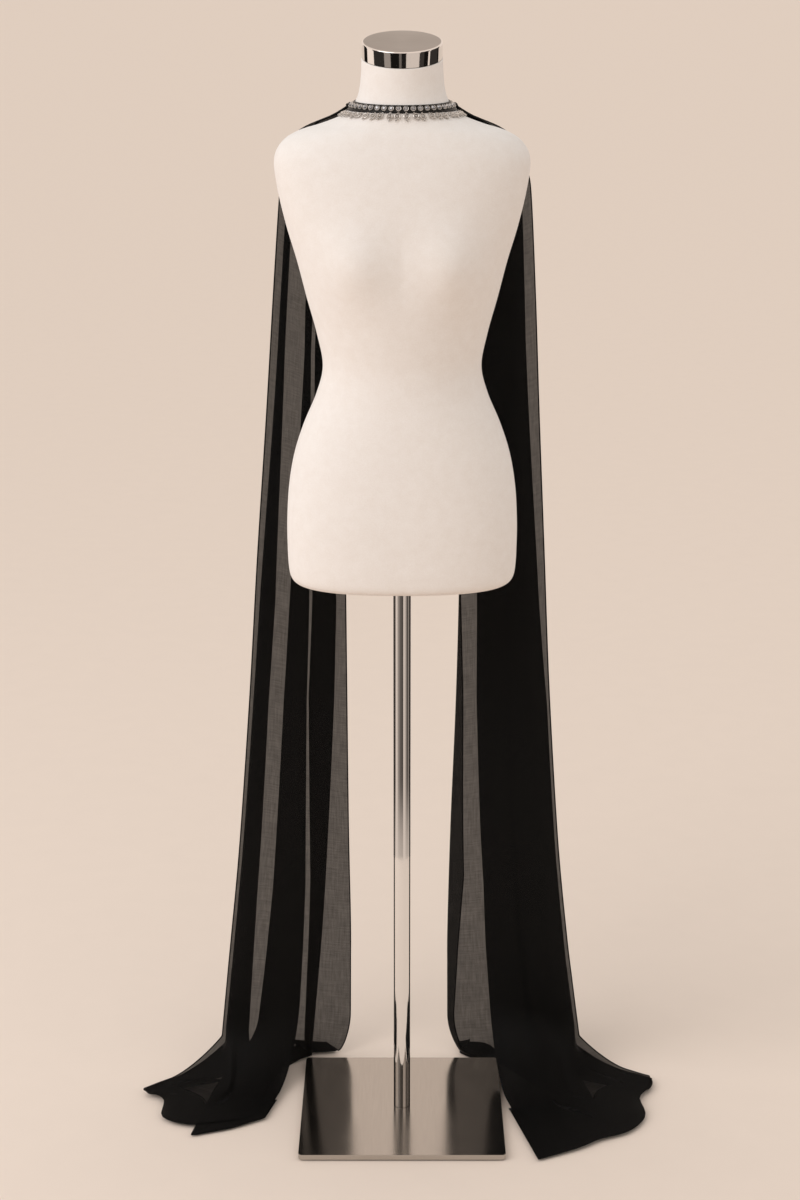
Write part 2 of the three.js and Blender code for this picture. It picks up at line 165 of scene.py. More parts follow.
SKY_STRENGTH = 0.78
ROOM = linear("f2e0d2")  # what polished metal sees of the paper and the room, in place of the sky
LAMP_STRENGTH = 0.60
LAMP_ANGLE = 40  # degrees across, as a big octagonal diffuser looks from the form
LAMP_AIM = (0.62, 0.50, -0.72)  # the way its light travels
SIDE_LAMP_WATTS = 30
SIDE_LAMP_TINT = linear("eff5ff")
SIDE_LAMP_SIZE = 2.4  # metres
SIDE_LAMP_PLACE = (-3.0, -1.2, 1.9)
SIDE_LAMP_AIM = (3.0, 1.2, -1.0)

world = bpy.data.worlds.new("diffuser_sky")
scene.world = world
world.use_nodes = True
tree = world.node_tree
for_metal = add_node(tree, "ShaderNodeLightPath").outputs["Is Glossy Ray"]
WHITE = (SKY_STRENGTH, SKY_STRENGTH, SKY_STRENGTH, 1.0)
shade = add_node(tree, "ShaderNodeMix", {0: for_metal, 6: WHITE, 7: ROOM}, data_type="RGBA")
tree.links.new(shade.outputs[2], tree.nodes["Background"].inputs["Color"])

lamp = bpy.data.objects.new("soft_lamp", bpy.data.lights.new("soft_lamp", "SUN"))
lamp.data.energy = LAMP_STRENGTH
lamp.data.angle = math.radians(LAMP_ANGLE)
lamp.rotation_euler = Vector(LAMP_AIM).to_track_quat("-Z", "Y").to_euler()
scene.collection.objects.link(lamp)

side_lamp = bpy.data.objects.new("side_lamp", bpy.data.lights.new("side_lamp", "AREA"))
side_lamp.data.energy = SIDE_LAMP_WATTS
side_lamp.data.size = SIDE_LAMP_SIZE
side_lamp.data.color = SIDE_LAMP_TINT[:3]
side_lamp.location = SIDE_LAMP_PLACE
side_lamp.rotation_euler = Vector(SIDE_LAMP_AIM).to_track_quat("-Z", "Y").to_euler()
side_lamp.visible_glossy = False
scene.collection.objects.link(side_lamp)

# Glowing black, grey and white boards stand in two arcs round the form, open at the back, and each
# faces it. Their glow is painted in and shows only in reflections: only polished metal shows them, the
# tall far ones in the neck cap and the low near ones in the pole. A near board that isn't black has a
# painted glow that grows towards the paper's brightness at its foot.
# degrees round from the front, positive to the form's left, and the brightness of the board's glow
FAR_BOARDS = [
    (-137, -117.5, 0.012), (-117.5, -90, 1.1), (-90, -54.5, 0.035), (-54.5, -35, 0.38), (-35, -9, 0.01),
    (-9, -2, 0.18), (-2, 12, 0.015), (12, 52, 0.78), (52, 67, 0.05), (67, 81, 0.008), (82, 87, 1.0),
    (87, 119.5, 0.04), (119.5, 126, 0.008),
]
NEAR_BOARDS = [
    (-168, -127, 0.004), (-127, -104, 0.11), (-104, -84, 0.42), (-84, -65, 0.95), (-65, -47, 0.42),
    (-47, -31, 0.28), (-31, -15, 0.15), (-15, 0, 0.12), (0, 15, 0.07), (15, 47, 0.70), (47, 65, 0.34),
    (65, 84, 0.07), (84, 104, 0.30), (104, 125, 0.08), (125, 168, 0.004),
]
BLACK_BOARD = 0.01  # the brightness up to which a near board counts as black
PAPER_BRIGHTNESS = 0.85
FOOT_GLOW_LIFT = 0.6  # painted glow: of the way to the paper's brightness, at the foot
BOARD_FOOT = 0.02  # metres above the paper
GRADE_TOP = 0.20
# the arc's name, its boards, its radius and their height in metres
ARCS = [("far", FAR_BOARDS, 2.2, 2.6), ("near", NEAR_BOARDS, 1.0, 0.62)]
for arc, boards, ring_r, height in ARCS:
    for number, (start, end, brightness) in enumerate(boards):
        board_glow = bpy.data.materials.new(f"reflection_glow_board_{arc}_{number}")
        board_glow.use_nodes = True
        tree = board_glow.node_tree
        tree.nodes.remove(tree.nodes["Principled BSDF"])
        # painted glow: a near board that isn't black glows brighter towards its foot
        lift = FOOT_GLOW_LIFT if arc == "near" and brightness > BLACK_BOARD else 0
        foot = brightness + lift * (PAPER_BRIGHTNESS - brightness)
        up = add_node(tree, "ShaderNodeSeparateXYZ", {0: own_place(tree)}).outputs["Z"]
        graded = add_node(
            tree,
            "ShaderNodeMapRange",
            {0: up, 1: BOARD_FOOT, 2: GRADE_TOP, 3: foot, 4: brightness},
            interpolation_type="SMOOTHSTEP",
        )
        # each board is an emitter with a painted glow, seen only in reflections
        glow = add_node(tree, "ShaderNodeEmission", {"Color": ROOM, "Strength": graded.outputs[0]})
        tree.links.new(glow.outputs[0], tree.nodes["Material Output"].inputs["Surface"])
        ring = []
        for degrees in (start, (start + end) / 2, end):
            around = math.radians(degrees)
            for z in (BOARD_FOOT, height):
                ring.append((ring_r * math.sin(around), -ring_r * math.cos(around), z))
        board = new_piece(f"reflection_glow_board_{arc}_{number}", ring, [(0, 2, 3, 1), (2, 4, 5, 3)], board_glow)
        board.visible_camera = False
        board.visible_diffuse = False
        board.visible_transmission = False
        board.visible_shadow = False

# ---------------------------------------------------------------- base and pole
# The base is a shallow tray of 1.2 mm stainless sheet, folded down round a steel slab and brushed,
# and stands on five thin rubber pads. The pole is a 1 inch chromed tube, bolted up from below.
STEEL = linear("b9b4ae")
BRUSH_LINE_MM = 0.9  # drawn coarser than the real 0.2 mm so that it shows
BRUSH_CONTRAST = 0.07  # of the colour, darker and lighter
CLOUD_MM = 111.1  # of the patches where the belt pressed harder
CLOUD_GLOSS = 1.35  # times as rough in them


def brushed(name, colour, roughness, line_mm, stretch, depth_mm):
    """Metal rubbed with a fine belt: faint long scratches, and reflections smeared across them."""
    material, tree, shader = new_material(name, Metallic=1.0, Anisotropic=0.35)
    place = own_place(tree)
    stretched = add_node(tree, "ShaderNodeMapping", {"Vector": place, "Scale": stretch}).outputs[0]
    scratch = noise_at(tree, stretched, line_mm, Detail=2.0)
    cloudy = noise_at(tree, place, CLOUD_MM, Detail=3.0)
    dark = [c * (1 - BRUSH_CONTRAST) for c in colour]
    light = [min(1, c * (1 + BRUSH_CONTRAST)) for c in colour]
    tint(tree, shader, scratch, dark, light)
    gloss = spread(tree, cloudy, (0.3, 0.7), (roughness, roughness * CLOUD_GLOSS))
    tree.links.new(gloss, shader.inputs["Roughness"])
    relieve(tree, shader, scratch, 0.12, depth_mm)
    return material


stainless = brushed("brushed_stainless_steel", STEEL, 0.13, BRUSH_LINE_MM, (1, 0.02, 1), 0.05)


def finish_node(name, material, edge_mm=0.0):
    """Gives a CAD part its finish and, where the real part has them, eased edges."""
    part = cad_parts[name]
    part.data.materials.clear()
    part.data.materials.append(material)
    if edge_mm:
        eased = part.modifiers.new("eased_edges", "BEVEL")
        eased.width = edge_mm / 1000
        eased.segments = 3
        eased.limit_method = "ANGLE"
        eased.angle_limit = SHARP_ANGLE
        eased.harden_normals = True


finish_node("base_cover", stainless, edge_mm=0.7)

RUBBER = linear("161616")
RUBBER_GRAIN_MM = 1.111
rubber, tree, shader = new_material("moulded_black_rubber", Base_Color=RUBBER, Roughness=0.85)
relieve(tree, shader, noise_at(tree, own_place(tree), RUBBER_GRAIN_MM, Detail=2.0), 0.4, 0.3)
for name in ("foot_front_left", "foot_front_right", "foot_rear_left", "foot_rear_right", "centre_pad"):
    finish_node(name, rubber, edge_mm=0.4)

MILL_SCALE = linear("4a4a4d")
mill_steel = brushed("hot_rolled_steel", MILL_SCALE, 0.5, 6.0, (1, 1, 1), 0.2)
for name in ("base_weight", "pole_insert"):
    finish_node(name, mill_steel)

ZINC = linear("a7abb0")
zinc_plate = brushed("zinc_plated_steel", ZINC, 0.32, 1.5, (1, 1, 1), 0.05)
for name in ("base_bolt", "base_washer"):
    finish_node(name, zinc_plate)

NYLON = linear("1a1b1d")
SPARK_GRAIN_MM = 0.7143  # the spark-eroded grain of its mould
nylon, tree, shader = new_material("moulded_black_nylon", Base_Color=NYLON, Roughness=0.42)
relieve(tree, shader, cells_at(tree, own_place(tree), SPARK_GRAIN_MM), 0.25, 0.2)
finish_node("pole_plug", nylon)

CHROME = linear("eeedec")
CHROME_CLOUD_MM = 45  # a polisher's faint haze
CHROME_ROUGHNESS = (0.035, 0.07)

chrome, tree, shader = new_material("polished_chrome_plate", Base_Color=CHROME, Metallic=1.0)
haze = noise_at(tree, own_place(tree), CHROME_CLOUD_MM, Detail=2.0)
tree.links.new(spread(tree, haze, (0.3, 0.7), CHROME_ROUGHNESS), shader.inputs["Roughness"])


def loop_faces(loops, points, closed=False):
    """Quads between neighbouring loops of points, each loop closed on itself."""
    faces = []
    for i in range(loops if closed else loops - 1):
        low, high = i * points, (i + 1) % loops * points
        for j in range(points):
            k = (j + 1) % points
            faces.append((low + j, low + k, high + k, high + j))
    return faces


def capped_faces(loops, points):
    """Quads between neighbouring loops, with a flat face over the first loop and over the last."""
    last = (loops - 1) * points
    ends = [tuple(range(points))[::-1], tuple(last + i for i in range(points))]
    return loop_faces(loops, points) + ends


def turned(name, outline, *materials, segments=160):
    """A turned ring about +Z through a closed outline of (radius, height) points, outside going up."""
    vertices = []
    for r, z in outline:
        for i in range(segments):
            around = 2 * math.pi * i / segments
            vertices.append((r * math.cos(around), r * math.sin(around), z))
    return new_piece(name, vertices, loop_faces(len(outline), segments, closed=True), *materials)


pole_low, pole_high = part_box("pole")
POLE_R = (pole_high[0] - pole_low[0]) / 2
POLE_WALL = 0.0012
TUBE_CHAMFER = 0.0003
pole_outline = [
    (POLE_R - TUBE_CHAMFER, pole_low[2]),
    (POLE_R, pole_low[2] + TUBE_CHAMFER),
    (POLE_R, pole_high[2] - TUBE_CHAMFER),
    (POLE_R - TUBE_CHAMFER, pole_high[2]),
    (POLE_R - POLE_WALL, pole_high[2]),
    (POLE_R - POLE_WALL, pole_low[2]),
]
pole = turned("chrome_pole", pole_outline, chrome)
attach(pole, "stand")
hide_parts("pole")

# ---------------------------------------------------------------- body
# The body is laid up in glass fibre and covered in one layer of brushed cotton jersey, drawn down
# tight over it from the neck and stapled out of sight under the hem. It closes in a seam down the back.
MM = 0.001
# height, half width, reach to the front, reach to the back, squareness, forward tilt
BODY_SECTIONS = [
    (1596.5, 55.6, 54.4, 54.4, 2.0, 0.2493),
    (1574, 56.5, 55.2, 56.5, 2.0, 0.2),
    (1554, 58.8, 57, 60, 2.0, 0.11),
    (1540, 63.2, 60, 64, 2.0, 0.05),
    (1528.5, 71.5, 64.5, 69, 2.0, 0.02),
    (1518, 85.5, 69, 73.5, 2.05, 0),
    (1507.5, 113, 74, 78, 2.1, 0),
    (1498, 143.5, 79, 82, 2.2, 0),
    (1484, 165.3, 84.5, 87, 2.3, 0),
    (1461, 176.8, 92, 93.5, 2.35, 0),
    (1423, 173.3, 100, 98, 2.35, 0),
    (1371, 161.6, 106.5, 98.5, 2.3, 0),
    (1320, 146.7, 109, 95.5, 2.25, 0),
    (1270, 134.1, 106, 90, 2.2, 0),
    (1219, 120.4, 97, 83, 2.15, 0),
    (1173, 112.4, 90, 78.5, 2.1, 0),
    (1134, 121.3, 91, 82, 2.1, 0),
    (1090, 139.8, 96.5, 91, 2.2, 0),
    (1047, 153.9, 101.5, 101, 2.3, 0),
    (1000, 162.2, 105, 108.5, 2.4, 0),
    (950, 165.4, 107, 111.5, 2.5, 0),
    (908, 165.3, 106.5, 110.5, 2.5, 0),
    (882, 164, 105.5, 108.5, 2.5, 0),
    (867.5, 161, 103, 106, 2.5, 0),
    (860, 154, 96.5, 99.5, 2.5, 0),
    (858, 143, 86, 89, 2.5, 0),
    (858, 128, 71, 74, 2.5, 0),
]
# place across, height, spread across, spread up, depth, side: the bust, shoulder blades and seat
BODY_SWELLINGS = [(70, 1322, 44, 50, 17, -1), (66, 1405, 46, 60, 5, 1), (72, 975, 52, 62, 8, 1)]


def through(points, t):
    """Catmull-Rom curve through rows of numbers, at places t from 0 to 1."""
    points = np.array(points, float)
    last = len(points) - 1
    at = np.clip(np.asarray(t, float), 0, 1) * last
    i = np.minimum(at.astype(int), last - 1)
    w = (at - i)[..., None]
    a, b, c, d = (points[np.clip(i + k, 0, last)] for k in (-1, 0, 1, 2))
    a = np.where((i == 0)[..., None], 2 * b - c, a)
    d = np.where((i == last - 1)[..., None], 2 * c - b, d)
    return 0.5 * (2 * b + (c - a) * w + (2 * a - 5 * b + 4 * c - d) * w**2 + (3 * b - a - 3 * c + d) * w**3)


def face_point(t, around):
    """The body's face at t, from 0 at the neck to 1 at the hem, and at an angle from +X, in metres."""
    z, half, front, back, square, tilt = np.moveaxis(through(BODY_SECTIONS, t), -1, 0)
    c, s = np.cos(around), np.sin(around)
    x = half * np.sign(c) * np.abs(c) ** (2 / square)
    y = np.where(s < 0, -front, back) * np.abs(s) ** (2 / square)
    for across, height, wide, tall, depth, side in BODY_SWELLINGS:
        near = np.exp(-(((np.abs(x) - across) / wide) ** 2) - ((z - height) / tall) ** 2)
        facing = np.clip(s * side, 0, 1)
        y = y + side * depth * near * np.minimum(1, 2 * facing)
    return np.stack([x, y, z + tilt * y], -1) * MM


def face_normal(t, around):
    """Straight out of the body's face."""
    step = 1e-3
    down = face_point(np.minimum(1, t + step), around) - face_point(np.maximum(0, t - step), around)
    along = face_point(t, around + step) - face_point(t, around - step)
    out = np.cross(down, along)
    return out / np.linalg.norm(out, axis=-1, keepdims=True)


def body_point(t, around, off=0.0):
    return face_point(t, around) + face_normal(t, around) * np.asarray(off)[..., None]


BODY_RINGS = 260
BODY_SECTORS = 240
COVER_THICKNESS = 0.001
JERSEY = linear("eee6df")
JERSEY_SHADE = linear("e7ddd4")
NAP_MM = 1.7  # the brushed nap lies in flecks; real ones are finer, and would not show
CLOUDING_MM = 14
CLOUDING_SHARE = 0.45  # of the pattern, the rest being nap

jersey, tree, shader = new_material(
    "brushed_cotton_jersey", Roughness=0.92, Specular_IOR_Level=0.15, Sheen_Weight=0.12, Sheen_Roughness=0.5
)
place = own_place(tree)
nap = noise_at(tree, place, NAP_MM, Detail=4.0, Roughness=0.65)
clouding = noise_at(tree, place, CLOUDING_MM, Detail=4.0, Roughness=0.6)
mix = add_node(tree, "ShaderNodeMix", {0: CLOUDING_SHARE, 2: nap, 3: clouding}, data_type="FLOAT")
mixed = mix.outputs[0]
tint(tree, shader, spread(tree, mixed, (0.33, 0.67)), JERSEY_SHADE, JERSEY)
relieve(tree, shader, mixed, 0.35, 0.6)

ring_places, sector_places = np.meshgrid(
    np.linspace(0, 1, BODY_RINGS), np.linspace(0, 2 * math.pi, BODY_SECTORS, endpoint=False), indexing="ij"
)
cover_points = body_point(ring_places, sector_places).reshape(-1, 3)
cover = new_piece("jersey_cover", cover_points, loop_faces(BODY_RINGS, BODY_SECTORS), jersey)
cover.data.flip_normals()
cover.data.shade_smooth()
thickness = cover.modifiers.new("jersey_thickness", "SOLIDIFY")
thickness.thickness = COVER_THICKNESS
thickness.offset = -1
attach(cover, "torso")
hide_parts("torso_cover")

# The seam down the back: the jersey's two edges butt together under a flat row of zigzag stitches.
SEAM_HALF_WIDTH = 0.0016
SEAM_STITCHES = 215
SEAM_ENDS = (0.004, 0.955)  # of the way from the neck to the hem
SEAM_THREAD_R = 0.0004
SEAM_OFF = 0.0002  # the thread's middle, off the jersey
THREAD = linear("e2d6ca")
TWIST_MM = 0.6667
seam_thread, tree, shader = new_material(
    "cotton_seam_thread", Base_Color=THREAD, Roughness=0.8, Sheen_Weight=0.1
)
relieve(tree, shader, noise_at(tree, own_place(tree), TWIST_MM), 0.5, 0.2)


def tube(path, radius, sides=6, normals=(0.0, 0.0, 1.0)):
    """Vertices and faces of a closed-ended tube along a list of points."""
    path = np.asarray(path, float)
    tangents = np.gradient(path, axis=0)
    tangents /= np.linalg.norm(tangents, axis=1, keepdims=True) + 1e-12
    side = np.cross(tangents, normals)
    weak = np.linalg.norm(side, axis=1) < 1e-3
    side[weak] = np.cross(tangents[weak], [1.0, 0.0, 0.0])
    side /= np.linalg.norm(side, axis=1, keepdims=True)
    over = np.cross(side, tangents)
    vertices = []
    for centre, a, b in zip(path, side, over):
        for i in range(sides):
            turn = 2 * math.pi * i / sides
            vertices.append(centre + radius * (a * math.cos(turn) + b * math.sin(turn)))
    return vertices, capped_faces(len(path), sides)


seam_places = np.linspace(*SEAM_ENDS, SEAM_STITCHES)
straight_back = np.full(SEAM_STITCHES, math.pi / 2)
seam_out = face_normal(seam_places, straight_back)
zigzag = face_point(seam_places, straight_back) + seam_out * SEAM_OFF
zigzag[:, 0] += np.where(np.arange(SEAM_STITCHES) % 2, SEAM_HALF_WIDTH, -SEAM_HALF_WIDTH)
back_seam = new_piece("centre_back_seam", *tube(zigzag, SEAM_THREAD_R, normals=seam_out), seam_thread)
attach(back_seam, "torso")

RESIN = linear("b6ad98")
RESIN_SHADE = linear("8f8674")
STRAND_MM = 6.25
glass_fibre, tree, shader = new_material("laid_up_glass_fibre", Roughness=0.45)
strands = cells_at(tree, own_place(tree), STRAND_MM, feature="DISTANCE_TO_EDGE")
tint(tree, shader, strands, RESIN, RESIN_SHADE)
relieve(tree, shader, strands, 0.6, 1.0)
finish_node("torso_shell", glass_fibre)

# ---------------------------------------------------------------- underside
# A birch plywood board closes the body's foot. A zinc-plated flange and sleeve are screwed to it,
# and a chromed split collar under them grips the pole when its knob at the back is turned.
BIRCH = linear("c69f6d")
BIRCH_DARK = linear("9c7446")
GRAIN_MM = 2.2
birch, tree, shader = new_material("sawn_birch_plywood", Roughness=0.72)
along_grain = add_node(tree, "ShaderNodeMapping", {"Vector": own_place(tree), "Scale": (0.04, 1, 1)})
grain = noise_at(tree, along_grain.outputs[0], GRAIN_MM, Detail=4.0, Distortion=0.4)
tint(tree, shader, spread(tree, grain, (0.35, 0.65)), BIRCH_DARK, BIRCH)
relieve(tree, shader, grain, 0.3, 0.4)
for name in ("bottom_board", "neck_block"):
    finish_node(name, birch, edge_mm=0.6)
for name in ("flange", "sleeve", "cap_washer", "cap_nut", "clamp_screw"):
    finish_node(name, zinc_plate, edge_mm=0.25)
for number in (1, 2, 3, 4):
    finish_node(f"flange_screw_{number}", zinc_plate)
finish_node("sleeve_bush", nylon, edge_mm=0.2)
finish_node("clamp_collar", chrome, edge_mm=0.6)
finish_node("clamp_knob", nylon, edge_mm=0.8)

# ---------------------------------------------------------------- neck cap
# A spun and chromed cap covers the neck's slanted top. Its flat top is rubbed satin and its band is
# a mirror; one stud welded inside pulls it down on the neck block.
CAP_R = 0.0553
CAP_HEIGHT = 0.0218
CAP_WALL = 0.0012
CAP_EDGE_R = 0.0022
CAP_EDGE_STEPS = 6
CAP_FOOT = 0.0005  # over the neck's slanted top
CAP_MIDDLE_R = 0.0002  # its top closes to a point
CAP_FLAT_R = 0.03
CAP_SECTORS = 192
CAP_TILT = math.radians(14)
NECK_TOP = BODY_SECTIONS[0][0] * MM
SATIN_CHROME = linear("a8a5a2")

satin_chrome = brushed("rubbed_satin_chrome", SATIN_CHROME, 0.33, 1.2, (0.05, 1, 1), 0.03)
cap_outline = [(CAP_R, CAP_FOOT), (CAP_R, CAP_HEIGHT - CAP_EDGE_R)]
for i in range(1, CAP_EDGE_STEPS + 1):
    turn = math.pi / 2 * i / CAP_EDGE_STEPS
    cap_outline.append(
        (CAP_R - CAP_EDGE_R * (1 - math.cos(turn)), CAP_HEIGHT - CAP_EDGE_R * (1 - math.sin(turn)))
    )
top_from = len(cap_outline) - 1
cap_outline += [
    (CAP_FLAT_R, CAP_HEIGHT),
    (CAP_MIDDLE_R, CAP_HEIGHT),
    (CAP_MIDDLE_R, CAP_HEIGHT - CAP_WALL),
    (CAP_R - CAP_EDGE_R, CAP_HEIGHT - CAP_WALL),
    (CAP_R - CAP_WALL, CAP_HEIGHT - CAP_EDGE_R),
    (CAP_R - CAP_WALL, CAP_FOOT),
]
neck_cap = turned("chrome_neck_cap", cap_outline, chrome, satin_chrome, segments=CAP_SECTORS)
for face in neck_cap.data.polygons:
    if top_from * CAP_SECTORS <= face.index < (top_from + 2) * CAP_SECTORS:
        face.material_index = 1
for vertex in neck_cap.data.vertices:
    x, y, z = vertex.co
    vertex.co = (
        x,
        y * math.cos(CAP_TILT) - z * math.sin(CAP_TILT),
        NECK_TOP + y * math.sin(CAP_TILT) + z * math.cos(CAP_TILT),
    )
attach(neck_cap, "torso")
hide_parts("neck_cap")

# ---------------------------------------------------------------- choker
# A black satin ribbon lies round the foot of the neck and hooks at the back. Round rhinestones in
# silver cups are sewn along its front, and from each one hangs a ring with a ball and a drop.
BAND_TOP_Z = 1538
BAND_BOTTOM_Z = 1525.5
BAND_OFF = (0.0006, 0.0020)  # its inside and outside, off the neck
BAND_ENDS = (96, 444)  # degrees round from +X, with the gap at the back
BAND_STATIONS = 260
STONE_ENDS = (163, 377)
STONE_PITCH = 0.00995
STONE_R = 0.0029
CUP_R = 0.0039


def place_at(z):
    """t on the body for a height near the neck."""
    low, high = 0.0, 0.4
    for _ in range(40):
        middle = (low + high) / 2
        if through(BODY_SECTIONS, middle)[..., 0] > z:
            low = middle
        else:
            high = middle
    return low


SATIN = linear("060606")
WEFT_MM = 0.625
satin, tree, shader = new_material(
    "black_satin_ribbon", Base_Color=SATIN, Roughness=0.42, Specular_IOR_Level=0.3, Sheen_Weight=0.05
)
relieve(tree, shader, noise_at(tree, own_place(tree), WEFT_MM), 0.3, 0.1)

band_angles = np.radians(np.linspace(*BAND_ENDS, BAND_STATIONS))
band_low, band_high = place_at(BAND_BOTTOM_Z), place_at(BAND_TOP_Z)
# shares of the way up the ribbon and of the way out from the neck
BAND_PROFILE = [
    (0.0, 0.2), (0.03, 0.8), (0.12, 1.0), (0.88, 1.0), (0.97, 0.8), (1.0, 0.2), (0.9, 0.0), (0.1, 0.0),
]
band_vertices = []
for angle in band_angles:
    for up, out in BAND_PROFILE:
        t = band_low + (band_high - band_low) * up
        band_vertices.append(body_point(t, angle, BAND_OFF[0] + (BAND_OFF[1] - BAND_OFF[0]) * out))
band_faces = capped_faces(BAND_STATIONS, len(BAND_PROFILE))
band = new_piece("satin_choker_band", band_vertices, band_faces, satin)
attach(band, "torso")
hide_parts("choker_band")

SILVER = linear("e6e3df")
TARNISH = linear("a19c96")
TARNISH_MM = 4.1667
silver, tree, shader = new_material("polished_white_metal", Metallic=0.75)
tarnish = noise_at(tree, own_place(tree), TARNISH_MM, Detail=3.0)
tint(tree, shader, tarnish, TARNISH, SILVER)
tree.links.new(spread(tree, tarnish, (0, 1), (0.3, 0.1)), shader.inputs["Roughness"])

# The stones' colour is painted sparkle: small cells of painted bright glints and painted dark reflections.
PAINTED_GLINT = linear("d4d5da")
PAINTED_DARK_REFLECTION = linear("222326")
PAINTED_SPARKLE_MM = 1.11111
crystal, tree, shader = new_material("foil_backed_cut_glass", Metallic=0.6, Roughness=0.04, Coat_Weight=1.0)
tint(tree, shader, cells_at(tree, own_place(tree), PAINTED_SPARKLE_MM), PAINTED_GLINT, PAINTED_DARK_REFLECTION)
for name in ("clasp_ring", "clasp_hook"):
    finish_node(name, silver)


def body_frame(t, angle, off):
    """A place off the body with its directions round, down and out."""
    step = 1e-3
    point = body_point(t, angle, off)
    down = face_point(t + step, angle) - face_point(t - step, angle)
    out = face_normal(t, angle)
    down /= np.linalg.norm(down)
    return point, np.cross(out, down), down, out


def lathe_local(profile, segments):
    """A closed solid of revolution about local out, from an outline of (radius, out) pairs."""
    vertices = [
        (r * math.cos(2 * math.pi * i / segments), r * math.sin(2 * math.pi * i / segments), out)
        for r, out in profile
        for i in range(segments)
    ]
    return vertices, capped_faces(len(profile), segments)


def ring_local(major, wire, place, around, section):
    """A wire ring lying flat on the body."""
    vertices = []
    for i in range(around):
        turn = 2 * math.pi * i / around
        for j in range(section):
            roll = 2 * math.pi * j / section
            r = major + wire * math.cos(roll)
            x, y = place[0] + r * math.cos(turn), place[1] + r * math.sin(turn)
            vertices.append((x, y, wire * math.sin(roll)))
    return vertices, loop_faces(around, section, closed=True)


def ball_local(radius, place, stretch=1.0):
    """A ball, or a drop when it is stretched downwards, a little flat at its two ends."""
    rings, segments, flat = 7, 12, 0.06
    vertices = []
    for i in range(rings):
        turn = math.pi * (flat + (1 - 2 * flat) * i / (rings - 1))
        width = radius * math.sin(turn)
        for j in range(segments):
            roll = 2 * math.pi * j / segments
            x, y = place[0] + width * math.cos(roll), place[1] + radius * math.cos(turn) * stretch
            vertices.append((x, y, width * math.sin(roll)))
    return vertices, capped_faces(rings, segments)


def set_on_body(gathered, local, spot):
    """Adds a small local shape to a growing mesh, laid on the body at a spot."""
    point, across, down, out = spot
    start = len(gathered[0])
    for x, y, z in local[0]:
        gathered[0].append(point + across * x + down * y + out * z)
    for face in local[1]:
        gathered[1].append(tuple(start + i for i in face))


WALK_STEPS = 900
WALK_OFF = 0.003  # off the neck, where the stones' middles lie
band_middle = (band_low + band_high) / 2
walk = np.radians(np.linspace(*STONE_ENDS, WALK_STEPS))
walked = body_point(np.full(WALK_STEPS, band_middle), walk, WALK_OFF)
run = np.concatenate([[0], np.cumsum(np.linalg.norm(np.diff(walked, axis=0), axis=1))])
stone_gaps = int(run[-1] / STONE_PITCH)
first_stone = (run[-1] - STONE_PITCH * stone_gaps) / 2
stone_angles = np.interp(first_stone + STONE_PITCH * np.arange(stone_gaps + 1), run, walk)

# radius and height off the ribbon: the cup is a shallow bezel, and the stone has a girdle, eight
# crown facets and a flat table
CUP_PROFILE = [
    (0.0030, 0.0), (CUP_R, 0.0004), (CUP_R, 0.0017), (0.0036, 0.0023), (0.0030, 0.0021), (0.0029, 0.0010),
]
STONE_PROFILE = [(STONE_R, 0.0010), (STONE_R, 0.0018), (0.0016, 0.0031)]
FRINGE_Z = 1520
FRINGE_OFF = 0.0024
HANG = 0.0047  # from there up to the link that each drop swings from
SWING = 14  # degrees
SWING_PACE = 2.4  # radians from one drop to the next
# radius, wire and place below the link's height
LINK = (0.0012, 0.0004, (0, -0.0004))
DROP_RING = (0.0036, 0.0010, (0, 0.0044))
DROP_BALL = (0.0018, (0, 0.0046))
DROP_TIP = (0.0012, (0, 0.0098), 1.6)
cups, stones, drops = ([], []), ([], []), ([], [])
fringe_place = place_at(FRINGE_Z)
for number, angle in enumerate(stone_angles):
    spot = body_frame(band_middle, angle, BAND_OFF[1])
    set_on_body(cups, lathe_local(CUP_PROFILE, 20), spot)
    set_on_body(stones, lathe_local(STONE_PROFILE, 8), spot)
    swing = math.radians(SWING * math.sin(number * SWING_PACE))
    point, across, down, out = body_frame(fringe_place, angle, FRINGE_OFF)
    turned_down = down * math.cos(swing) + across * math.sin(swing)
    turned_across = across * math.cos(swing) - down * math.sin(swing)
    spot = (point - down * HANG, turned_across, turned_down, out)
    set_on_body(drops, ring_local(*LINK, 12, 6), spot)
    set_on_body(drops, ring_local(*DROP_RING, 24, 8), spot)
    set_on_body(drops, ball_local(*DROP_BALL), spot)
    set_on_body(drops, ball_local(*DROP_TIP), spot)

stone_cups = new_piece("rhinestone_cups", *cups, silver)
stone_set = new_piece("rhinestones", *stones, crystal)
stone_set.data.shade_flat()
fringe = new_piece("choker_fringe_drops", *drops, silver)
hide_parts("rhinestone_chain")
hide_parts("choker_fringe")
for piece, slot in ((stone_cups, "silver"), (stone_set, "rhinestone"), (fringe, "silver")):
    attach(piece, "torso")

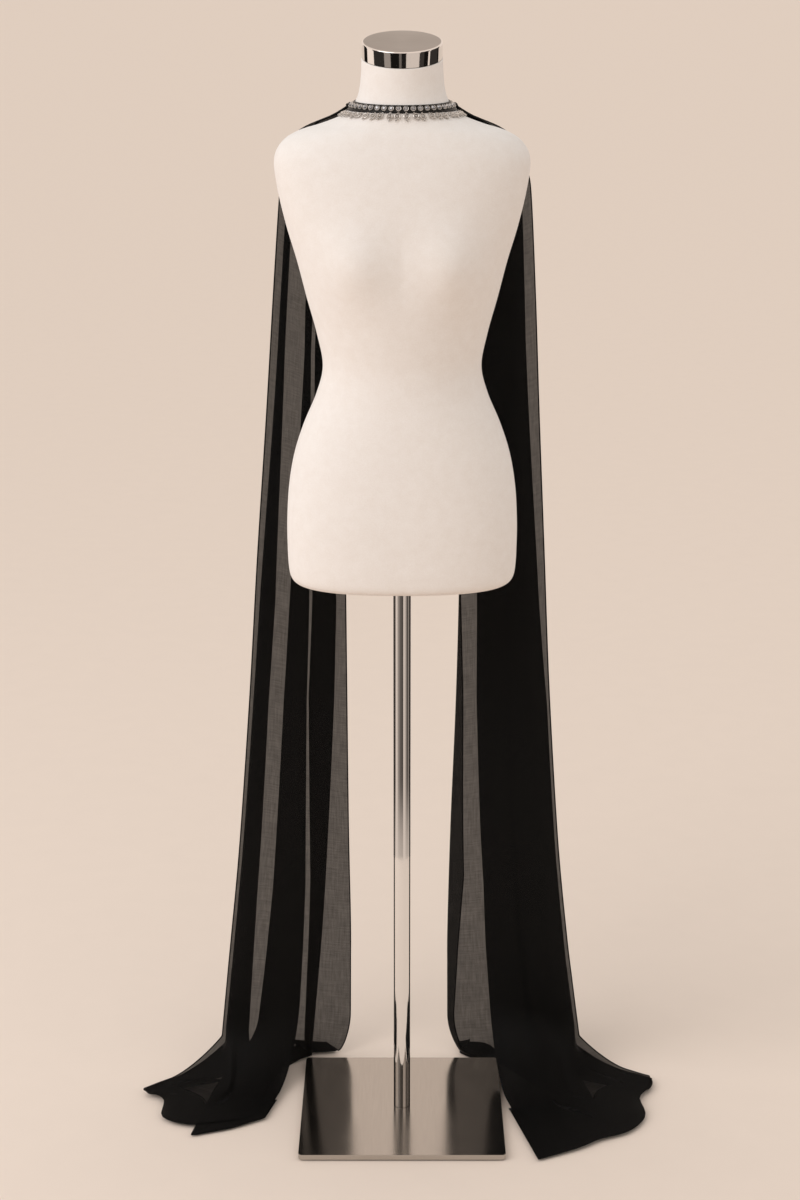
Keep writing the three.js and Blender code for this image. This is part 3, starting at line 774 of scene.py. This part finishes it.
# ---------------------------------------------------------------- cape
# Two panels of sheer black silk chiffon are gathered into a bound edge at each side of the choker,
# pass over the shoulder blades and fall free to the floor, where they trail outwards and forwards.
# outer edge, inner edge, bow over the back, depth of the folds, lean of that depth in degrees
CAPE_FALLS = {
    "left": [
        [-74, 14, 1530, -36, 66, 1532, 8, 2.0, 20],
        [-96, 19, 1516, -38, 79, 1520, 6, 2.4, 45],
        [-138, 29, 1497.5, -48, 92, 1496, 11, 2.6, 40],
        [-160, 52, 1474, -58, 101, 1462, 14, 3.5, 20],
        [-169, 72, 1438, -67, 110, 1422, 10, 5, 0],
        [-173.5, 86, 1395, -74, 116, 1375, 5, 8, 0],
        [-185, 96, 1250, -80, 124, 1230, 2, 11, 0],
        [-198, 104, 1070, -82, 134, 1060, 0, 13, 0],
        [-214.5, 110, 860, -83.5, 144, 850, 0, 14, 0],
        [-231, 115, 630, -82.5, 153, 630, 0, 15, 0],
        [-250, 120, 400, -81.5, 163, 400, 0, 16, 0],
        [-267.5, 123, 230, -79, 172, 230, 0, 17, 0],
        [-276, 125, 150, -79.5, 176, 150, 0, 17, 0],
    ],
    "right": [
        [74, 14, 1530, 36, 66, 1532, 8, 2.0, 20],
        [96, 19, 1516, 38, 79, 1520, 6, 2.4, 45],
        [138, 29, 1497.5, 48, 92, 1496, 11, 2.6, 40],
        [162, 52, 1474, 58, 101, 1462, 14, 3.5, 20],
        [176, 72, 1438, 67, 110, 1422, 10, 5, 0],
        [183, 86, 1395, 74, 116, 1375, 5, 8, 0],
        [191.5, 96, 1250, 80, 124, 1230, 2, 11, 0],
        [200, 104, 1070, 84, 134, 1060, 0, 13, 0],
        [211.5, 110, 860, 85, 144, 850, 0, 14, 0],
        [223.5, 115, 630, 81.5, 153, 630, 0, 15, 0],
        [240.5, 120, 400, 74, 163, 400, 0, 16, 0],
        [258.5, 123, 230, 70.5, 172, 230, 0, 17, 0],
        [269, 125, 150, 71, 176, 150, 0, 17, 0],
    ],
}
# Where the cloth turns back on itself at each height, as shares of the way from the outer edge to
# the inner one. Three layers or more lie between each pair of turns, and one elsewhere.
CAPE_TURNS = {
    "left": [
        (1530, [0, 0.20, 0.08, 0.55, 0.38, 0.80, 0.60, 1]),
        (1180, [0, 0.187, 0.067, 0.505, 0.43, 0.80, 0.587, 1]),
        (790, [0, 0.215, 0.02, 0.56, 0.35, 0.88, 0.625, 1]),
        (630, [0, 0.187, 0.01, 0.55, 0.323, 0.854, 0.60, 1]),
        (320, [0, 0.182, 0, 0.577, 0.30, 0.775, 0.646, 1]),
        (150, [0, 0.192, 0, 0.565, 0.262, 0.725, 0.638, 1]),
    ],
    "right": [
        (1530, [0, 0.45, 0.10, 0.75, 0.40, 1, 0.95]),
        (1200, [0, 0.45, 0.115, 0.80, 0.42, 1, 0.95]),
        (790, [0, 0.45, 0.05, 0.755, 0.40, 1, 0.985]),
        (630, [0, 0.45, 0.0, 0.745, 0.41, 1, 0.93]),
        (320, [0, 0.42, 0.0, 0.66, 0.36, 1, 0.87]),
        (150, [0, 0.40, 0.0, 0.645, 0.33, 1, 0.93]),
    ],
}
# how far back each layer hangs, as a share of the folds' depth
CAPE_LAYERS = {"left": [0.9, 0.1, -1, -0.55, -0.1, 0.4, 0.9], "right": [0.9, 0.1, -1, -0.5, 0.3, 0.9]}
# How the cloth lies on the floor, by turns and places between them, numbered from the outer edge:
# turn, where it lands, where its train ends, the train's height, and the height where the fall bends
CAPE_TRAINS = {
    "left": [
        (0, -372, 82, -407, 52, 6, 56), (0.3, -345, 78, -398, 38, 6, 56),
        (0.6, -300, 86, -388, 36, 6, 60), (1, -252, 95, -374, 50, 4, 60),
        (1.3, -322, 92, -392, 47, 5, 58), (1.75, -372, 84, -406, 55, 5.5, 56),
        (1.88, -340, 60, -388, 36, 6, 66), (2, -294, 24, -366, 16, 9, 90),
        (2.1, -292, 18, -373, -20, 5, 90), (2.18, -288, 14, -374, -36, 4, 90),
        (2.3, -278, 10, -331, -58, 4, 95), (2.6, -248, 10, -272, -46, 4, 110),
        (3, -190, 34, -206, -29, 3, 120), (3.5, -232, 15, -262, -63, 1.5, 115),
        (4, -302, 48, -326, -86, 1.5, 90), (4.3, -262, 92, -285, -45, 1, 85),
        (4.6, -205, 132, -222, 20, 1, 70), (4.8, -165, 158, -186, 186, 1, 50),
        (5, -146, 170, -168, 220, 1, 45), (6, -156, 175, -182, 226, 2, 45),
        (7, -104, 187, -124, 216, 2, 75),
    ],
    "right": [
        (0, 362, 118, 394, 99, 4, 56), (0.12, 366, 98, 400, 78, 5, 56),
        (0.3, 350, 88, 391, 52, 6, 56), (0.55, 300, 96, 370, 42, 6, 60),
        (1, 205, 118, 346, 64, 4, 60), (1.3, 300, 112, 384, 72, 5, 58),
        (1.75, 366, 112, 400, 90, 5.5, 56), (1.88, 334, 80, 388, 48, 6, 66),
        (2, 290, 48, 364, 22, 9, 95), (2.08, 287, 35, 379, -10, 5, 95),
        (2.16, 282, 24, 377, -32, 4, 95), (2.26, 272, 14, 362, -60, 4, 95),
        (2.38, 258, 4, 338, -84, 4, 100), (2.55, 238, -12, 292, -100, 4, 110),
        (2.6, 232, -18, 286, -114, 5, 110), (2.74, 212, -20, 255, -130, 3, 115),
        (3, 158, 14, 197, -160, 2, 120), (3.5, 205, 30, 250, -115, 1.5, 110),
        (4, 292, 92, 322, -60, 1.5, 80), (4.3, 246, 122, 276, 10, 1, 80),
        (4.6, 150, 158, 175, 120, 1, 60), (4.8, 112, 168, 146, 220, 1, 45),
        (5, 95, 186, 92, 220, 1, 75), (6, 103, 190, 112, 226, 2, 75),
    ],
}
FALL_ROWS = 200
TRAIN_ROWS = 90
TUCK_ROWS = 30
LOOP_ROWS = 8  # of those go round the turn
TURN_COLUMNS = 24  # between one turn and the next
FLOOR_CLEARANCE = 0.0012
GATHERS = 34  # small pleats along the bound edge
LANDING_SHARE = 0.6  # of a train's rows are still coming down
LOOP_HEIGHT = 0.0032  # of the turn where a train goes back under itself
RUCK_HEIGHT = 0.015
TUCK_LENGTH = (0.86, 0.2)  # the share of a train that goes back under it, and how far that strays
WING_TURNS = (1.75, 2.0)  # outside them the cloth runs straight out; inside them it comes down first
WING_DROPS = (0.1, 0.6)  # of the height of the knee, that it comes down first
FINE_STEPS = 2000
PLEAT_DEPTH = 1.1  # mm
# the cloth's slow waves: mm, the station by which they are full, their pace across and down, a seed
SWAYS = ((2.6, 7, 1.3, 0.55, 0), (1.0, 5, 4.1, 0.8, 7))
# the rucks of the cloth on the floor: their share, their pace across and out, a seed
RUCKS = ((1.0, 2.6, 1.1, 11), (0.4, 6.5, 1.7, 17))


def smooth(w):
    return w * w * (3 - 2 * w)


def fold_line(turns, layers):
    """Places across a row of cloth that turns back on itself, with round turns, and their depths."""
    last = len(layers)
    marks, levels = [0.0], [layers[0]]
    for i, level in enumerate(layers):
        marks += [i + 0.22, i + 0.78, i + 1]
        levels += [level, level, level if i == last - 1 else (level + layers[i + 1]) / 2]
    u = np.linspace(0, last, last * TURN_COLUMNS + 1)
    i = np.minimum(u.astype(int), last - 1)
    w = u - i
    # half of the way at an even pace, so that the columns are not crowded at the turns
    share = np.array(turns)[i] + np.diff(turns)[i] * (0.35 * w + 0.65 * smooth(w))
    for k in range(1, last):
        rounding = np.clip(1 - np.abs(u - k) / 0.12, 0, 1) ** 2
        share = share * (1 - rounding) + turns[k] * rounding
    return u, share, np.interp(u, marks, levels)


def soft_noise(x, y, seed):
    return noise.noise(Vector((x, y, seed)))


def fall_rows(side, seed):
    """The turn numbers along a row, and one panel's rows from its bound edge down over the back."""
    falls = np.array(CAPE_FALLS[side], float)
    turn_heights = [-height for height, _ in CAPE_TURNS[side]]
    turn_table = np.array([turns for _, turns in CAPE_TURNS[side]])
    fine = through(falls, np.linspace(0, 1, FINE_STEPS))
    middle = (fine[:, 0:3] + fine[:, 3:6]) / 2
    run = np.concatenate([[0], np.cumsum(np.linalg.norm(np.diff(middle, axis=0), axis=1))])
    places = np.interp(np.linspace(0, run[-1], FALL_ROWS), run, np.linspace(0, 1, FINE_STEPS))
    rows = []
    for place in places:
        station = place * (len(falls) - 1)
        outer, inner, (bow, depth, lean) = np.split(through(falls, place), [3, 6])
        turns = [np.interp(-outer[2], turn_heights, column) for column in turn_table.T]
        u, shares, levels = fold_line(turns, CAPE_LAYERS[side])
        flat = np.array([-(inner - outer)[1], (inner - outer)[0], 0.0])
        flat /= np.linalg.norm(flat)
        if flat[1] < 0:
            flat = -flat
        lean = math.radians(lean)
        out = flat * math.cos(lean) + np.array([0, 0, math.sin(lean)])
        pleats = np.sin(np.linspace(0, 1, len(shares)) * 2 * math.pi * GATHERS)
        gathers = PLEAT_DEPTH * max(0.0, 1 - station / 5) * pleats
        sway = [
            sum(
                size * min(1, station / full) * soft_noise(v * across, station * down, seed + own)
                for size, full, across, down, own in SWAYS
            )
            for v in u
        ]
        off = 4 * bow * shares * (1 - shares) + levels * depth + gathers + np.array(sway)
        rows.append((outer + (inner - outer) * shares[:, None] + out * off[:, None]) * MM)
    return u, np.array(rows)


def bent(start, first, second, end, w):
    """The place w of the way along a curve that leaves towards first and arrives from second."""
    v = 1 - w
    return v**3 * start + 3 * v**2 * w * first + 3 * v * w * w * second + w**3 * end


def train_rows(side, seed, u, rows):
    """The rows that go on from the fall: down to the floor, out along it and back underneath."""
    slope = (rows[-1] - rows[-4]) / (rows[-4] - rows[-1])[:, 2:3]
    table = np.array(CAPE_TRAINS[side], float)
    laid = np.stack([np.interp(u, table[:, 0], table[:, k]) for k in range(1, 7)], -1) * MM
    kernel = np.array([1, 2, 3, 2, 1]) / 9
    padded = np.pad(laid, ((2, 2), (0, 0)), mode="edge")
    laid = sum(weight * padded[k : k + len(laid)] for k, weight in enumerate(kernel))
    down = np.linspace(0, 1, TRAIN_ROWS + 1)[1:]
    train = np.zeros((TRAIN_ROWS + TUCK_ROWS, len(u), 3))
    for j, foot in enumerate(rows[-1]):
        low = FLOOR_CLEARANCE + LOOP_HEIGHT + laid[j, 4]
        knee = foot + slope[j] * (foot[2] - laid[j, 5])
        landing = np.array([laid[j, 0], laid[j, 1], low])
        end = np.array([laid[j, 2], laid[j, 3], low])
        length = np.linalg.norm(end - landing)
        ahead = (end - landing) / length
        reach = np.linalg.norm((landing - knee)[:2])
        first = knee + slope[j] * np.interp(u[j], WING_TURNS, WING_DROPS) * (knee[2] - low)
        second = landing - ahead * min(reach * 0.45, 0.05)
        drop = LANDING_SHARE * 0.3 * min(1, (foot[2] - knee[2]) / 0.05) + 1e-6
        for i, w in enumerate(down):
            if w <= drop:
                point = foot + (knee - foot) * w / drop
            elif w <= LANDING_SHARE:
                point = bent(knee, first, second, landing, (w - drop) / (LANDING_SHARE - drop))
            else:
                point = landing + (end - landing) * (w - LANDING_SHARE) / (1 - LANDING_SHARE)
            rise = math.sin(math.pi * min(1, w * 1.03)) ** 1.2 * min(1, length / 0.09) ** 2
            ruck = sum(
                share * abs(soft_noise(u[j] * across, w * out, seed + own))
                for share, across, out, own in RUCKS
            )
            train[i, j] = point + np.array([0, 0, RUCK_HEIGHT * rise * ruck])
        usual, stray = TUCK_LENGTH
        tuck = length * (usual + stray * soft_noise(u[j] * 1.7, 0.3, seed + 23))
        for i in range(TUCK_ROWS):
            turn = min(1.0, (i + 1) / LOOP_ROWS) * math.pi
            back = max(0.0, (i + 1 - LOOP_ROWS) / (TUCK_ROWS - LOOP_ROWS)) * tuck
            round_off = LOOP_HEIGHT / 2 * math.sin(turn)
            fall = LOOP_HEIGHT / 2 * (1 - math.cos(turn))
            train[TRAIN_ROWS + i, j] = end + ahead * (round_off - back) - np.array([0, 0, fall])
    return train


CHIFFON = linear("040404")
CHIFFON_COVER = 0.882  # share of the light that one layer stops
SLUB_COVER = (CHIFFON_COVER - 0.035, CHIFFON_COVER + 0.03)  # between the slubs, and on them
SLUB_MM = 2.0  # crepe-twisted threads; the real 0.25 mm weave is too fine to show

chiffon, tree, shader = new_material(
    "black_silk_chiffon",
    Base_Color=CHIFFON,
    Roughness=0.6,
    Specular_IOR_Level=0.14,
    Sheen_Weight=0.03,
    Sheen_Roughness=0.35,
)
flat_cloth = add_node(tree, "ShaderNodeUVMap", uv_map="flat_cloth").outputs[0]
warp = add_node(tree, "ShaderNodeMapping", {"Vector": flat_cloth, "Scale": (1, 0.07, 1)}).outputs[0]
weft = add_node(tree, "ShaderNodeMapping", {"Vector": flat_cloth, "Scale": (0.07, 1, 1)}).outputs[0]
slubs = {0: noise_at(tree, warp, SLUB_MM, Detail=2.0), 1: noise_at(tree, weft, SLUB_MM, Detail=2.0)}
weave = add_node(tree, "ShaderNodeMath", slubs, operation="ADD").outputs[0]
tree.links.new(spread(tree, weave, (0.7, 1.3), SLUB_COVER), shader.inputs["Alpha"])
relieve(tree, shader, weave, 0.3, 0.2)

HEM_BLACK = linear("070707")
WHIPPING_MM = 1.4286
rolled_hem, tree, shader = new_material(
    "rolled_chiffon_hem", Base_Color=HEM_BLACK, Roughness=0.6, Specular_IOR_Level=0.3
)
relieve(tree, shader, noise_at(tree, own_place(tree), WHIPPING_MM, Detail=2.0), 0.5, 0.3)

HEM_R = 0.0010
BINDING_R = 0.0024

for side, seed in (("left", 3.0), ("right", 21.0)):
    u, falling = fall_rows(side, seed)
    rows = np.concatenate([falling, train_rows(side, seed, u, falling)])
    row_count, column_count = rows.shape[:2]
    faces = []
    for i in range(row_count - 1):
        for j in range(column_count - 1):
            a = i * column_count + j
            faces.append((a, a + column_count, a + column_count + 1, a + 1))
    panel = new_piece(f"chiffon_cape_{side}", rows.reshape(-1, 3), faces, chiffon)
    panel.data.shade_smooth()
    middle_row = rows[FALL_ROWS // 2]
    flat_x = np.concatenate([[0], np.cumsum(np.linalg.norm(np.diff(middle_row, axis=0), axis=1))])
    steps = np.linalg.norm(np.diff(rows, axis=0), axis=2)
    flat_y = np.concatenate([np.zeros((1, column_count)), np.cumsum(steps, axis=0)])
    layer = panel.data.uv_layers.new(name="flat_cloth")
    places = np.stack([np.broadcast_to(flat_x, flat_y.shape), flat_y], -1).reshape(-1, 2)
    corner_vertices = np.empty(len(panel.data.loops), int)
    panel.data.loops.foreach_get("vertex_index", corner_vertices)
    layer.data.foreach_set("uv", places[corner_vertices].ravel())

    edge = np.concatenate([rows[:, 0], rows[-1, 1:-1], rows[::-1, -1]])
    hem = new_piece(f"cape_hem_{side}", *tube(edge, HEM_R), rolled_hem)
    binding = new_piece(f"cape_binding_{side}", *tube(rows[0, ::3], BINDING_R, sides=10), rolled_hem)
    for piece in (panel, hem):
        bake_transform(piece)
    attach(binding, "torso")
    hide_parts(f"cape_panel_{side}", f"cape_train_{side}")
